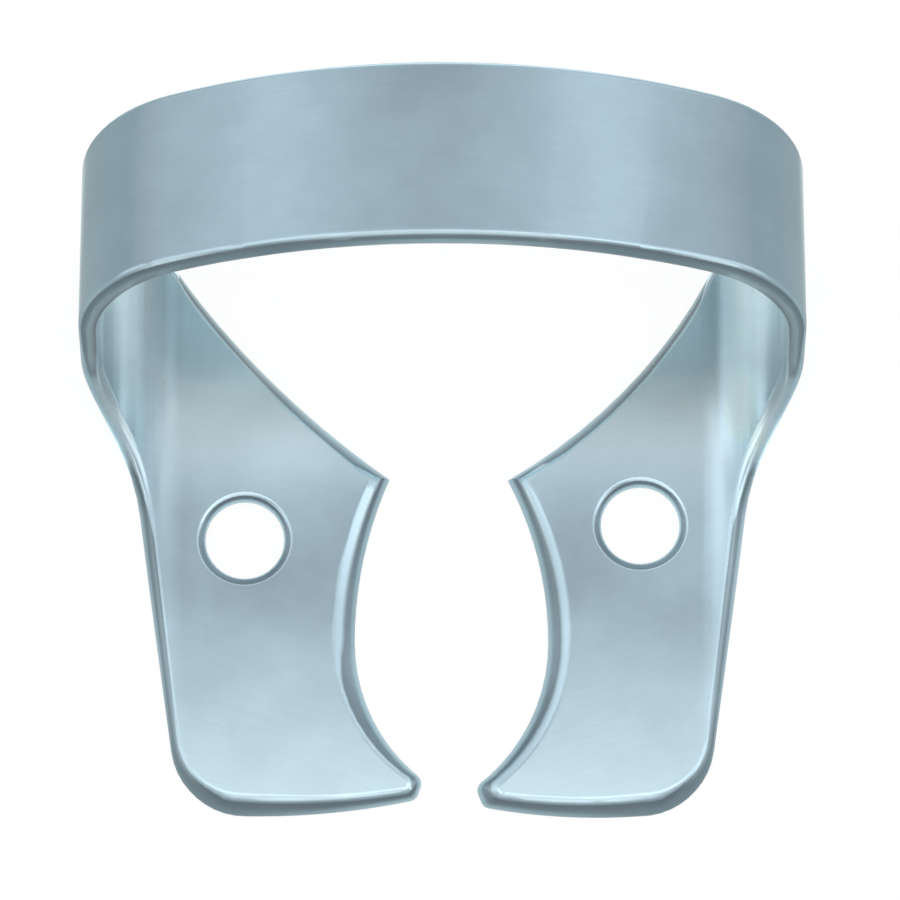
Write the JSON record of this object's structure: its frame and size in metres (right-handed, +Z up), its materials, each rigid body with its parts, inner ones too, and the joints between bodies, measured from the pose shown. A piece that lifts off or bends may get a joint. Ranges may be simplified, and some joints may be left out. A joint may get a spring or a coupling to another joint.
{
  "type": "rubber dam clamp",
  "caption": "Wingless dental dam clamp: flat jaws with curved tooth edges and forceps holes, joined by a leaning spring bow.",
  "frame": {"origin": "middle of the bounding box, at the level of the jaws' undersides", "axes": "+Z up from the jaws towards the bow, -Y towards the free front ends of the jaws, +X towards the jaw whose tooth edge is set further out"},
  "size_m": [0.0262, 0.0254, 0.0131],
  "materials": {
    "spring_steel": "satin, with brighter rounded edges"
  },
  "bodies": {
    "root": {"clamp": "spring_steel"}
  },
  "joints": []
}
